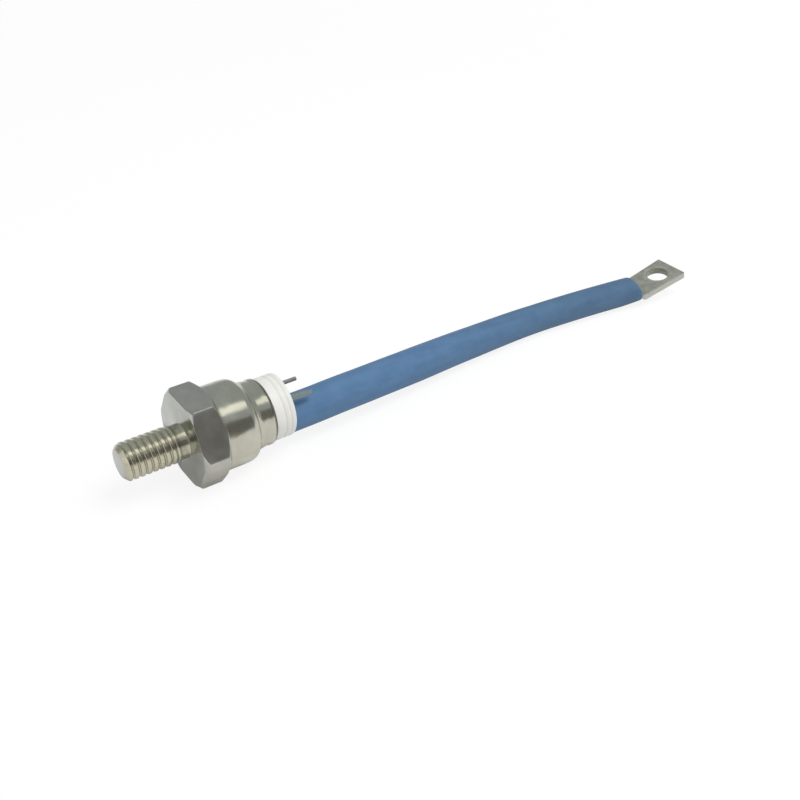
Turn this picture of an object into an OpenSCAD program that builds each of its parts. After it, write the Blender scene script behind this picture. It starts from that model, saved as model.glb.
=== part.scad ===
// Stud-mounted controlled rectifier with a flexible insulated lead, lying on a flat of its hexagon.
// The stud's axis lies along X: the stud points to -X and the lead runs to +X.
// The origin is the middle of the seat, the face of the hexagon that is pulled onto a heat sink.

/* [Base] */
// Distance across the flats of the hexagon
hex_af = 27; // [25:0.1:30]
// Thickness of the hexagon
hex_t = 8; // [6:0.5:12]
// How far the corners of the hexagon are turned down at the seat
corner_cut = 1.7; // [0.4:0.1:1.9]
// Length over which the corners are turned down
corner_l = 1.1; // [0.4:0.1:1.6]
// Length of the stud from the seat to its tip
stud_l = 19.5; // [16:0.5:30]
// Outside diameter of the stud's thread
thread_d = 11.4; // [10:0.1:14]
// How far the plain shank between thread and seat is turned below the thread
shank_relief = 0.4; // [0.2:0.1:1]
// Length of the plain shank
shank_l = 3; // [2:0.5:8]
// Size of the chamfer on the stud's tip
tip_chamfer = 1.4; // [0.4:0.1:1.6]
// Gap between the can's wall and the raised pedestal that carries the silicon
pedestal_gap = 1; // [0.5:0.1:1.5]
// Height of the pedestal
pedestal_h = 1.5; // [1:0.1:2]

/* [Can] */
// How far the flats of the hexagon stand out past the can
can_margin = 0.5; // [0.3:0.05:1]
// Wall of the can
can_wall = 1; // [0.8:0.05:1.1]
// Length of the can's straight wall, from the hexagon to the shoulder
can_l = 10; // [9.2:0.1:13]
// Length of the shoulder between can and neck
shoulder_l = 3.4; // [3:0.1:4]
// How far the neck is drawn in from the can
neck_step = 2.7; // [2.4:0.1:3]
// Length of the neck
neck_l = 4.2; // [3.4:0.1:7]
// How far the welded flange at the can's foot stands out from the can
flange_step = 0.25; // [0.1:0.05:0.3]
// Thickness of the welded flange
flange_t = 0.8; // [0.5:0.1:1.5]
// Length of the lip at the end of the neck
lip_l = 1.5; // [1:0.1:2.4]
// How far the lip stands out from the neck
lip_h = 0.2; // [0.1:0.05:0.4]
// Radius on the rolled edge of the lip
lip_roll = 0.5; // [0.2:0.1:0.7]

/* [Ceramic] */
// How far the ceramic's outside is set in from the neck's
ceramic_inset = 0.4; // [0.1:0.1:0.6]
// Length of the ceramic that stands out of the neck
ceramic_l = 6.6; // [5:0.1:9]
// Thickness of the brazed seam between neck and ceramic
seam_t = 0.3; // [0.2:0.1:0.6]
// Depth of the seam below the ceramic's surface
seam_inset = 0.3; // [0.1:0.1:0.5]
// Depth of each groove round the ceramic
groove_depth = 0.4; // [0.2:0.1:0.8]
// Width of each groove
groove_w = 0.7; // [0.4:0.1:0.9]
// Number of grooves
groove_count = 2; // [1:1:2]
// Distance from one groove to the next, and from the last to the rim
groove_pitch = 1.8; // [1.2:0.1:2]
// Radius on the ceramic's rim
rim_round = 0.5; // [0.2:0.1:0.6]

/* [Pins] */
// Angle between the two pins, seen from the end
pin_spread = 113; // [80:1:130]
// Direction of the middle between the pins, up from the side
pin_dir = 81; // [60:1:100]
// Diameter of the gate pin
gate_pin_d = 1.3; // [1:0.1:1.6]
// Diameter of the auxiliary pin
aux_pin_d = 2; // [1:0.1:2.2]
// Length of the pins past the ceramic
pin_out = 9; // [4:0.2:14]
// How far the auxiliary pin leans down towards the lead
pin_lean = 3; // [2:0.5:10]

/* [Stack inside the can] */
// Gap between the can's wall and the insulating sleeve round the stack
liner_gap = 1.25; // [0.8:0.05:1.6]
// Wall of the insulating sleeve
liner_wall = 0.7; // [0.4:0.1:0.8]
// Height of the insulating sleeve
liner_h = 7.5; // [5:0.1:8]
// Thickness of the molybdenum support disc
disc_t = 1.6; // [1:0.1:2]
// How far the silicon's edge is set in from the support disc's
wafer_inset = 0.5; // [0.2:0.1:1.5]
// Thickness of the silicon wafer
wafer_t = 0.5; // [0.3:0.05:0.8]
// Thickness of the contact disc on the wafer
contact_t = 0.8; // [0.4:0.1:1]
// Thickness of the post's foot
post_foot_t = 2; // [1:0.1:2.4]
// How far the post's foot and the contact disc stand out from the post
foot_step = 1.5; // [0.8:0.1:2]
// Gap between the insulating sleeve and the washers and springs
washer_gap = 0.55; // [0.4:0.05:0.8]
// Width of the springs and of the retaining ring, from outside to bore
spring_w = 1.9; // [1.5:0.1:2.1]
// Thickness of the mica washer
mica_t = 0.6; // [0.3:0.1:0.8]
// Thickness of a disc spring's sheet
spring_t = 0.6; // [0.4:0.05:0.7]
// Height of one disc spring
spring_h = 1; // [0.8:0.05:1.2]
// Thickness of the retaining ring
retainer_t = 1; // [0.6:0.1:1.2]
// How far the cathode header's flange is set in from the ceramic's spigot
header_inset = 0.6; // [0.3:0.1:0.7]
// Thickness of the header's flange
header_t = 1.3; // [0.8:0.1:1.6]
// Diameter of the gate wire
gate_wire_d = 0.8; // [0.4:0.1:0.9]
// Outside diameter of the insulating tube on the gate wire
gate_tube_d = 1.6; // [1.2:0.1:1.7]
// Gap between the gate wire's tube and the bore of the springs
tube_gap = 0.3; // [0.1:0.1:0.5]
// Gap between the gate wire's tube and the post's foot
foot_clear = 0.2; // [0.1:0.1:0.5]

/* [Lead] */
// Direction from the stud's axis to the lead, up from the side
lead_dir = -99.5; // [-110:0.5:-80]
// Ceramic that is left between the lead's hole and the spigot's outside
lead_margin = 0.7; // [0.5:0.05:1.2]
// Diameter of the stranded copper conductor
conductor_d = 5.8; // [4.6:0.1:6]
// Wall of the header's ferrule
ferrule_wall = 1.25; // [0.8:0.05:1.3]
// Length of the ferrule inside the sleeve
ferrule_l = 10; // [5:0.5:12]
// Wall of the sleeve
sleeve_wall = 1.2; // [0.8:0.1:1.3]
// Gap between the sleeve and the ferrule
sleeve_near_gap = 0.45; // [0.2:0.05:0.6]
// Gap between the sleeve and the lug's barrel
sleeve_far_gap = 0.2; // [0.15:0.05:0.4]
// Where the sleeve starts to get thinner, from the ceramic
taper_from = 53; // [30:1:60]
// Where the sleeve has its far diameter
taper_to = 108; // [80:1:108]

/* [Lug] */
// Wall of the lug's barrel
barrel_wall = 0.75; // [0.6:0.05:1]
// Length of the barrel inside the sleeve
barrel_l = 12; // [6:0.5:13]
// Width of the lug's palm at its end
palm_w = 13.6; // [12.6:0.1:16]
// How much the palm widens on each side from the press to its end
palm_flare = 0.7; // [0.4:0.1:1.6]
// Length of the palm, from the sleeve's end to the lug's end
palm_l = 21.4; // [20:0.1:28]
// Thickness of the palm
palm_t = 2.6; // [2:0.1:3]
// Length over which the barrel is pressed flat into the palm
press_l = 2.7; // [2.6:0.1:4]
// Straight part of the barrel past the sleeve's end
press_start = 1.1; // [1:0.1:1.4]
// Radius on the corners of the palm
palm_round = 1; // [0.4:0.1:2]
// Diameter of the lug's hole
lug_hole_d = 8.2; // [6.4:0.1:9]
// Metal that is left between the hole and the lug's end
hole_rim = 3.6; // [2.4:0.1:6]
// How far the palm's root lies below the middle of the barrel
palm_drop = 1.2; // [0:0.1:1.6]
// How far the palm is bent upwards
palm_pitch = 11.5; // [2:0.5:13]
// How far the palm is turned sideways
palm_yaw = -0.5; // [-6:0.5:2]

/* [Fits] */
// Radial clearance of a piece in its hole
fit = 0.05; // [0.02:0.01:0.1]
// Radial clearance of the ceramic in the neck
neck_fit = 0.1; // [0.05:0.05:0.3]
// Gap between the foot of the ceramic and the end of the shoulder
foot_gap = 0.4; // [0.2:0.1:0.8]

/* [Hidden] */
$fn = 96;
eps = 0.01;

// Diameters that follow from the hexagon, from the outside in
shank_d = thread_d - 2 * shank_relief;
can_d = hex_af - 2 * can_margin;
can_bore_d = can_d - 2 * can_wall;
flange_d = can_d + 2 * flange_step;
pedestal_d = can_bore_d - 2 * pedestal_gap;
neck_d = can_d - 2 * neck_step;
neck_bore_d = neck_d - 2 * can_wall;
spigot_d = neck_bore_d - 2 * neck_fit;
ceramic_d = neck_d - 2 * ceramic_inset;
header_d = spigot_d - 2 * header_inset;
liner_d = can_bore_d - 2 * liner_gap;
liner_bore_d = liner_d - 2 * liner_wall;
disc_d = liner_bore_d - 2 * fit;
wafer_d = disc_d - 2 * wafer_inset;
washer_d = liner_bore_d - 2 * washer_gap;
spring_bore_d = washer_d - 2 * spring_w;
pin_r = spring_bore_d / 2 - tube_gap - gate_tube_d / 2;
post_foot_d = 2 * pin_r - gate_tube_d - 2 * foot_clear;
post_d = post_foot_d - 2 * foot_step;

// Diameters that follow from the conductor
conductor_bore_d = conductor_d + 2 * fit;
ferrule_d = conductor_bore_d + 2 * ferrule_wall;
barrel_d = conductor_bore_d + 2 * barrel_wall;
sleeve_near_d = ferrule_d + 2 * sleeve_near_gap + 2 * sleeve_wall;
sleeve_far_d = barrel_d + 2 * sleeve_far_gap + 2 * sleeve_wall;

// Stations along the stud's axis, from the seat towards the lead
pedestal_x = hex_t + pedestal_h;
disc_x = pedestal_x + disc_t;
wafer_x = disc_x + wafer_t;
contact_x = wafer_x + contact_t;
foot_x = contact_x + post_foot_t;
mica_x = foot_x + mica_t;
shoulder_x = hex_t + can_l;
neck_x = shoulder_x + shoulder_l;
seam_x = neck_x + neck_l;
body_x = seam_x + seam_t;
rim_x = body_x + ceramic_l;
spigot_x = neck_x + foot_gap;
header_x = spigot_x - header_t;

// The shoulder is an S of two equal arcs, convex at the can and hollow at the neck
shoulder_angle = 2 * atan(neck_step / shoulder_l);
shoulder_r = shoulder_l / (2 * sin(shoulder_angle));

// The retaining ring rises until its edge meets the hollow of the shoulder
hollow_r = shoulder_r + can_wall;
retainer_cos = (neck_d / 2 + shoulder_r - washer_d / 2 - neck_fit) / hollow_r;
retainer_top = neck_x - hollow_r * sqrt(1 - pow(retainer_cos, 2));
retainer_x = retainer_top - retainer_t;
spring_x = retainer_x - 2 * spring_h;

// Places of the pins and of the lead, as [y, z] from the stud's axis
gate_at = pin_r * [cos(pin_dir - pin_spread / 2), sin(pin_dir - pin_spread / 2)];
aux_at = pin_r * [cos(pin_dir + pin_spread / 2), sin(pin_dir + pin_spread / 2)];
aux_root_d = aux_pin_d + 2 * fit;
lead_r = spigot_d / 2 - lead_margin - ferrule_d / 2 - fit;
lead_at = lead_r * [cos(lead_dir), sin(lead_dir)];

// Route of the lead's middle line, as steps from the point where it leaves the ceramic.
// The heights are stretched until the far end lies on the surface that the hexagon lies on.
lead_route = [
    [0, 0, 0], [10, 0, 0], [20, 0.4, -0.1], [30, 1, -0.5], [40, 1.8, -1], [50, 2.7, -1.6],
    [60, 3.7, -2.2], [70, 4.7, -2.8], [80, 5.5, -3.4], [90, 6.1, -3.8], [100, 6.3, -4],
    [110, 6.1, -4.2], [120, 5.4, -4.2], [130, 4.5, -4.2], [140, 3.4, -4.2], [153, 1.8, -4.2]
];
lead_sides = 12;
lead_exit = [rim_x, lead_at[0], lead_at[1]];
route_fall = -lead_route[len(lead_route) - 1][2];
lead_fall = lead_at[1] + hex_af / 2 - sleeve_far_d / 2;
lead_path = [for (p = lead_route) lead_exit + [p[0], p[1], p[2] * lead_fall / route_fall]];
lead_end = lead_path[len(lead_path) - 1];
end_step = lead_end - lead_path[len(lead_path) - 2];
end_dir = end_step / norm(end_step);
end_yaw = atan2(end_dir[1], end_dir[0]);
ferrule_floor = spigot_x + header_t;
conductor_end = lead_end - (conductor_d / 2 + fit) * end_dir;
conductor_path = concat([[ferrule_floor, lead_at[0], lead_at[1]]],
                        [for (i = [0 : len(lead_path) - 2]) lead_path[i]],
                        [conductor_end]);

// Points of an arc round c from angle a0 to a1
function arc(c, r, a0, a1, n = 8) =
    [for (i = [0 : n]) let (a = a0 + (a1 - a0) * i / n) c + r * [cos(a), sin(a)]];

// Profile of the shoulder, set in from the outside by w
function shoulder(w) = concat(
    arc([can_d / 2 - shoulder_r, shoulder_x], shoulder_r - w, 0, shoulder_angle),
    arc([neck_d / 2 + shoulder_r, neck_x], shoulder_r + w, 180 + shoulder_angle, 180));

// Sleeve diameter at a distance along the lead
function sleeve_d(s) =
    let (t = min(1, max(0, (s - taper_from) / (taper_to - taper_from))))
    sleeve_near_d + (sleeve_far_d - sleeve_near_d) * t;

// Direction of a path at point i
function path_dir(path, i) =
    let (a = path[max(0, i - 1)], b = path[min(len(path) - 1, i + 1)])
    (b - a) / norm(b - a);

// Direction at point i, kept square to the end faces at the first and last point
function ring_dir(path, i) = i == 0 ? [1, 0, 0] : path_dir(path, i);

// One ring of points of radius r, square to the path, with a point straight below the middle
function ring(path, i, r) =
    let (d = ring_dir(path, i), side = cross([0, 0, 1], d) / norm(cross([0, 0, 1], d)), up = cross(d, side))
    [for (k = [0 : lead_sides - 1])
        let (a = 360 * k / lead_sides - 90)
        path[i] + r * (cos(a) * side + sin(a) * up)];

// Faces between ring i and the next, each ring having n points
function skin(i, j, n) = [for (k = [0 : n - 1]) [i * n + k, j * n + k, j * n + (k + 1) % n, i * n + (k + 1) % n]];

// A solid swept along a path, with a radius for each point
module swept(path, radii) {
    n = lead_sides;
    last = len(path) - 1;
    points = [for (i = [0 : last]) each ring(path, i, radii[i])];
    walls = [for (i = [0 : last - 1]) each skin(i, i + 1, n)];
    polyhedron(points, concat(walls, [[for (k = [0 : n - 1]) k]],
                              [[for (k = [n - 1 : -1 : 0]) last * n + k]]));
}

// A hollow tube swept along a path, with an outer and an inner radius for each point
module swept_tube(path, outer, inner) {
    n = lead_sides;
    last = len(path) - 1;
    rings = last + 1;
    outside = [for (i = [0 : last]) each ring(path, i, outer[i])];
    inside = [for (i = [0 : last]) each ring(path, i, inner[i])];
    walls = [for (i = [0 : last - 1]) each skin(i, i + 1, n)];
    bore = [for (i = [0 : last - 1]) each skin(rings + i + 1, rings + i, n)];
    ends = concat(skin(rings, 0, n), skin(last, rings + last, n));
    polyhedron(concat(outside, inside), concat(walls, bore, ends));
}

// Turns a shape built along Z so that it lies along the stud's axis
module along() {
    rotate([0, 90, 0]) children();
}

// A profile of [radius, station] points turned round the stud's axis
module turned(profile) {
    along() rotate_extrude() polygon(profile);
}

// A round bar from one station to another, at a place [y, z]
module bar(d, x0, x1, at = [0, 0]) {
    translate([x0, at[0], at[1]]) along() cylinder(d = d, h = x1 - x0);
}

// A round hole cut right through from one station to another
module hole(d, x0, x1, at = [0, 0]) {
    bar(d, x0 - eps, x1 + eps, at);
}

// A flat ring from one station to another
module washer(d, bore_d, x0, x1) {
    difference() {
        bar(d, x0, x1);
        hole(bore_d, x0, x1);
    }
}

// Hexagon, pedestal and stud, turned from one bar
module stud_base() {
    corner_r = hex_af / 2 / cos(30);
    face_r = corner_r - corner_cut;
    rear_cut = 2 * fit;
    color("silver") {
        intersection() {
            along() rotate([0, 0, 30]) cylinder(r = corner_r, h = hex_t, $fn = 6);
            turned([[0, 0], [face_r, 0], [corner_r, corner_l], [corner_r, hex_t - rear_cut],
                    [corner_r - rear_cut, hex_t], [0, hex_t]]);
        }
        bar(pedestal_d, hex_t - eps, pedestal_x);
        turned([[0, eps], [shank_d / 2, eps], [shank_d / 2, -shank_l], [thread_d / 2, -shank_l],
                [thread_d / 2, tip_chamfer - stud_l], [thread_d / 2 - tip_chamfer, -stud_l], [0, -stud_l]]);
    }
}

// Drawn can with its welded flange, rounded shoulder, neck and rolled lip
module housing_can() {
    lip_r = neck_d / 2 + lip_h;
    bore_r = neck_bore_d / 2;
    lip_x = seam_x - lip_l;
    outside = concat(
        [[flange_d / 2, hex_t], [flange_d / 2, hex_t + flange_t], [can_d / 2, hex_t + flange_t]],
        shoulder(0),
        [[neck_d / 2, lip_x], [lip_r, lip_x + lip_h]],
        arc([lip_r - lip_roll, seam_x - lip_roll], lip_roll, 0, 90, 5));
    inside = concat([[can_bore_d / 2, hex_t]], shoulder(can_wall), [[bore_r, seam_x]]);
    color("gainsboro")
    turned(concat(outside, [for (i = [len(inside) - 1 : -1 : 0]) inside[i]]));
}

// Brazed seam between the rolled lip and the ceramic
module braze_seam() {
    color("dimgray") washer(ceramic_d - 2 * seam_inset, spigot_d + 2 * fit, seam_x, body_x);
}

// White insulator with its spigot in the neck, grooves, lead hole and pin holes
module ceramic_insulator() {
    body_r = ceramic_d / 2;
    color("white") difference() {
        turned(concat([[0, spigot_x], [spigot_d / 2, spigot_x], [spigot_d / 2, body_x], [body_r, body_x]],
                      arc([body_r - rim_round, rim_x - rim_round], rim_round, 0, 90, 5), [[0, rim_x]]));
        for (i = [1 : groove_count])
            translate([-groove_w / 2, 0, 0])
            washer(ceramic_d + 1, ceramic_d - 2 * groove_depth,
                   rim_x - i * groove_pitch, rim_x - i * groove_pitch + groove_w);
        hole(ferrule_d + 2 * fit, spigot_x, rim_x, lead_at);
        hole(gate_pin_d + 2 * fit, spigot_x, rim_x, gate_at);
        hole(aux_root_d + 2 * fit, spigot_x, rim_x, aux_at);
    }
}

// Flange on the cathode post with the eccentric ferrule that takes the lead
module cathode_header() {
    color("peru") difference() {
        union() {
            bar(header_d, header_x, spigot_x);
            bar(ferrule_d, header_x, rim_x + ferrule_l, lead_at);
        }
        hole(conductor_bore_d, ferrule_floor + eps, rim_x + ferrule_l, lead_at);
        hole(gate_tube_d + 2 * fit, header_x, spigot_x, gate_at);
    }
}

// Control pin joined to the gate wire
module gate_pin() {
    color("slategray") bar(gate_pin_d, spigot_x, rim_x + pin_out, gate_at);
}

// Control pin that stands on the cathode header and leans outside the ceramic
module auxiliary_pin() {
    bend_l = aux_pin_d / 2;
    bend_x = rim_x + bend_l;
    color("lightslategray") {
        bar(aux_root_d, spigot_x, bend_x, aux_at);
        translate([bend_x, aux_at[0], aux_at[1]])
        rotate([0, pin_lean, 0])
        bar(aux_pin_d, -bend_l / 4, pin_out - bend_l);
    }
}

// Disc that carries the silicon on the pedestal
module support_disc() {
    color("darkgray") bar(disc_d, pedestal_x, disc_x);
}

// Silicon with its bevelled edge
module silicon_wafer() {
    wafer_r = wafer_d / 2;
    color("slategray") turned([[0, disc_x], [wafer_r, disc_x], [wafer_r - wafer_t, wafer_x], [0, wafer_x]]);
}

// Silvered disc between silicon and post
module contact_disc() {
    color("whitesmoke") bar(post_foot_d, wafer_x, contact_x);
}

// Copper post that carries the current up to the header
module cathode_post() {
    color("peru") {
        bar(post_foot_d, contact_x, foot_x);
        bar(post_d, foot_x - eps, header_x);
    }
}

// A washer round the post with a hole for the gate tube
module post_washer(x0, x1) {
    difference() {
        washer(washer_d, post_d + 4 * fit, x0, x1);
        hole(gate_tube_d + 2 * fit, x0, x1, gate_at);
    }
}

// Mica that insulates the springs from the post
module mica_washer() {
    color("tan") post_washer(foot_x, mica_x);
}

// Steel ring that spreads the springs' force
module thrust_ring() {
    color("gray") post_washer(mica_x, spring_x);
}

// Conical spring, its outer edge at station x0 and its inner edge at x1
module disc_spring(x0, x1) {
    way = sign(x1 - x0);
    outer_r = washer_d / 2;
    inner_r = spring_bore_d / 2;
    turned([[outer_r, x0], [outer_r, x0 + way * spring_t], [inner_r, x1], [inner_r, x1 - way * spring_t]]);
}

// Spring that presses on the thrust ring
module lower_disc_spring() {
    color("dimgray") disc_spring(spring_x, spring_x + spring_h);
}

// Spring that presses on the retaining ring
module upper_disc_spring() {
    color("dimgray") disc_spring(retainer_x, retainer_x - spring_h);
}

// Ring caught under the shoulder, which holds the springs down
module retaining_ring() {
    color("gray") washer(washer_d, spring_bore_d, retainer_x, retainer_top);
}

// Sleeve that keeps the stack in the middle and off the can
module insulating_sleeve() {
    color("ivory") washer(liner_d, liner_bore_d, pedestal_x, pedestal_x + liner_h);
}

// Wire from the silicon's gate to the gate pin
module gate_wire() {
    color("gold") bar(gate_wire_d, wafer_x, spigot_x, gate_at);
}

// Insulating tube on the gate wire
module gate_tube() {
    color("ivory") difference() {
        bar(gate_tube_d, wafer_x, spigot_x, gate_at);
        hole(gate_wire_d + fit, wafer_x, spigot_x, gate_at);
    }
}

// Stranded copper from the ferrule to the lug's barrel
module lead_conductor() {
    color("peru") swept(conductor_path, [for (p = conductor_path) conductor_d / 2]);
}

// Blue insulating sleeve over ferrule, conductor and barrel
module lead_sleeve() {
    outer = [for (p = lead_route) sleeve_d(p[0]) / 2];
    color("steelblue") swept_tube(lead_path, outer, [for (r = outer) r - sleeve_wall]);
}

// The lug's palm lies along its own X, with the press at the origin
module on_palm() {
    translate(lead_end - [0, 0, palm_drop]) rotate([0, -palm_pitch, palm_yaw]) children();
}

// Barrel pressed flat into a drilled palm
module terminal_lug() {
    barrel_r = barrel_d / 2;
    neck_r = barrel_r - 8 * fit;
    neck_x0 = -neck_r / 4;
    press_low = palm_drop - barrel_r;
    press_high = palm_drop + barrel_r;
    half_w = palm_w / 2;
    root_w = half_w - palm_flare;
    half_t = palm_t / 2;
    corner_r = norm([half_w, half_t + palm_drop]);
    from_above = concat(
        [[neck_x0, -barrel_r], [press_start, -barrel_r], [press_l, -root_w]],
        arc([palm_l - palm_round, palm_round - half_w], palm_round, -90, 0, 4),
        arc([palm_l - palm_round, half_w - palm_round], palm_round, 0, 90, 4),
        [[press_l, root_w], [press_start, barrel_r], [neck_x0, barrel_r]]);
    from_side = [[neck_x0, press_low], [press_start, press_low], [press_l, -half_t], [palm_l, -half_t],
                 [palm_l, half_t], [press_l, half_t], [press_start, press_high], [neck_x0, press_high]];
    color("silver") difference() {
        union() {
            translate(lead_end) rotate([0, 0, end_yaw]) bar(barrel_d, -barrel_l, 0);
            on_palm() intersection() {
                translate([0, 0, -barrel_d]) linear_extrude(2 * barrel_d) polygon(from_above);
                translate([0, palm_w, 0]) rotate([90, 0, 0]) linear_extrude(2 * palm_w) polygon(from_side);
                translate([0, 0, palm_drop])
                turned([[0, neck_x0], [neck_r, neck_x0], [neck_r, press_start], [corner_r, press_l],
                        [corner_r, palm_l + corner_r], [0, palm_l + corner_r]]);
            }
        }
        translate(lead_end) rotate([0, 0, end_yaw])
        bar(conductor_bore_d, -barrel_l - eps, -conductor_d / 2);
        on_palm() translate([palm_l - hole_rim - lug_hole_d / 2, 0, -palm_t])
        cylinder(d = lug_hole_d, h = 2 * palm_t);
    }
}

stud_base();
housing_can();
braze_seam();
ceramic_insulator();
cathode_header();
gate_pin();
auxiliary_pin();
support_disc();
silicon_wafer();
contact_disc();
cathode_post();
mica_washer();
thrust_ring();
lower_disc_spring();
upper_disc_spring();
retaining_ring();
insulating_sleeve();
gate_wire();
gate_tube();
lead_conductor();
lead_sleeve();
terminal_lug();
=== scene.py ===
# %% [markdown]
# This lesson dresses the solid model of a stud-mounted controlled rectifier: a nickel-plated hexagon
# with a threaded stud, a drawn can, a white ceramic, two control pins and a blue flexible lead that
# ends in a drilled lug. The solids come in as a fixed frame in metres, with the stud along X and the
# middle of the seat at the origin, so every new piece is made straight in its place.

# %% Load the solid model
import math
import bmesh
import bpy
from mathutils import Matrix, Vector


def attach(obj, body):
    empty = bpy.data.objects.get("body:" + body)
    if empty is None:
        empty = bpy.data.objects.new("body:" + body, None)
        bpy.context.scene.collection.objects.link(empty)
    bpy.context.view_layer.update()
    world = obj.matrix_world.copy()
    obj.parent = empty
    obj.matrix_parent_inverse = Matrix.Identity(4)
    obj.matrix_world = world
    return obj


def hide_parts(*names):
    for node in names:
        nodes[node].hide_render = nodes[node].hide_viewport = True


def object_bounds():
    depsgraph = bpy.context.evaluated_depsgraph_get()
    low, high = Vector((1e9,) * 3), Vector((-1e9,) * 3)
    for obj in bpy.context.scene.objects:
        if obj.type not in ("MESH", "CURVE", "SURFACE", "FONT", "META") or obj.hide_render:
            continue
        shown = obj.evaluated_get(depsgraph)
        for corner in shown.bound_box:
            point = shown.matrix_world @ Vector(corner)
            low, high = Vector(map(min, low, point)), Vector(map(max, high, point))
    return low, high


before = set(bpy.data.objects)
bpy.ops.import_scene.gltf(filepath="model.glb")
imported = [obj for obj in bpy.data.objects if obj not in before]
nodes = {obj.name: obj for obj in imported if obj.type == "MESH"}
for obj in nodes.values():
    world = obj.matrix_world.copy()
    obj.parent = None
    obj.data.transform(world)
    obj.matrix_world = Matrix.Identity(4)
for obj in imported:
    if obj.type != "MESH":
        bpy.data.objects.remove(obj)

cad_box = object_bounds()
for name in ("Cube", "Light", "Camera"):
    if name in bpy.data.objects:
        bpy.data.objects.remove(bpy.data.objects[name])
MM = 0.001


def rounded(box):
    return [[round(c, 4) for c in corner] for corner in box]


print("solid pieces:", len(nodes), "box:", rounded(cad_box))

# %% [markdown]
# The camera stands where the photograph was taken: to the left of the stud's tip, in front of the part
# and above it. Its place and lens were found by matching the corners of the hexagon, the edges of the
# can and the ends of the lead, so a pinhole with those numbers is set up directly instead of being
# aimed by eye.

# %% Camera
CAMERA_AT = Vector((-90.286, -232.906, 179.312)) * MM
FOCAL_PX, FRAME_PX, SENSOR_MM = 1044.55, 800, 36
azimuth, down, roll = (math.radians(a) for a in (54.31, 34.259, 0.439))
ahead = Vector((math.cos(azimuth) * math.cos(down), math.sin(azimuth) * math.cos(down),
                -math.sin(down)))
right = ahead.cross(Vector((0, 0, 1))).normalized()
up = right.cross(ahead)
camera_x = right * math.cos(roll) + up * math.sin(roll)
camera_y = camera_x.cross(ahead)


def placed(name, data):
    """Makes an object of the data and links it to the scene."""
    thing = bpy.data.objects.new(name, data)
    bpy.context.scene.collection.objects.link(thing)
    return thing


lens = bpy.data.cameras.new("camera")
lens.sensor_width = SENSOR_MM
lens.lens = FOCAL_PX / FRAME_PX * SENSOR_MM
lens.clip_start = 0.01
camera = placed("camera", lens)
camera.matrix_world = Matrix((camera_x, camera_y, -ahead)).transposed().to_4x4()
camera.location = CAMERA_AT
bpy.context.scene.camera = camera
print("lens", round(lens.lens, 2), "mm, distance", round(CAMERA_AT.length, 3), "m")

# %% [markdown]
# Materials are written as sums. One small class wraps a socket and adds a Math node for each sign, so
# a mask reads as it would on paper. Every other node goes through a single method: first its settings,
# then the value or the wire for each of its sockets. Nodes could be placed one by one instead, but a
# finish of thirty nodes is easier to follow as six lines of sums.

# %% Shader sums
class Wire:
    """One socket on its way through a material."""

    def __init__(self, tree, socket=None):
        self.tree = tree
        self.socket = socket

    def node(self, kind, settings, inputs, out=0):
        """Adds any node; inputs holds a value or a wire for each socket."""
        made = self.tree.nodes.new("ShaderNode" + kind)
        for name, value in settings.items():
            setattr(made, name, value)
        for key, value in inputs.items():
            if isinstance(value, Wire):
                self.tree.links.new(value.socket, made.inputs[key])
            else:
                made.inputs[key].default_value = value
        return Wire(self.tree, made.outputs[out] if made.outputs else None)

    def maths(self, operation, a, b=0.0):
        return self.node("Math", {"operation": operation}, {0: a, 1: b})

    def __add__(self, other):
        return self.maths("ADD", self, other)

    def __radd__(self, other):
        return self.maths("ADD", other, self)

    def __sub__(self, other):
        return self.maths("SUBTRACT", self, other)

    def __rsub__(self, other):
        return self.maths("SUBTRACT", other, self)

    def __mul__(self, other):
        return self.maths("MULTIPLY", self, other)

    def __rmul__(self, other):
        return self.maths("MULTIPLY", other, self)

    def root(self):
        return self.maths("SQRT", self)

    def most(self, other):
        return self.maths("MAXIMUM", self, other)

    def ease(self, low, high):
        """0 below low, 1 above high, smooth between; low may be the larger."""
        return self.node("MapRange", {"interpolation_type": "SMOOTHSTEP"}, {0: self, 1: low, 2: high})

    def mix(self, a, b):
        """Colour a where this wire is 0 and colour b where it is 1."""
        # Sockets 6 and 7 and output 2 are the ones for colours; the node also mixes values and vectors.
        return self.node("Mix", {"data_type": "RGBA"}, {0: self, 6: a, 7: b}, out=2)


def rgb(r, g, b):
    return (r, g, b, 1)


print("shader sums ready")

# %% [markdown]
# Each finish starts the same way: a Principled shader, the piece's own Object coordinates in metres,
# and the helpers that most finishes want, which are the distance from the stud's axis and a noise with
# its own stretch. Noise on stretched coordinates gives drawn lines, turned rings or cloudy patches, so
# no finish here needs an unwrapped surface.

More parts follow.
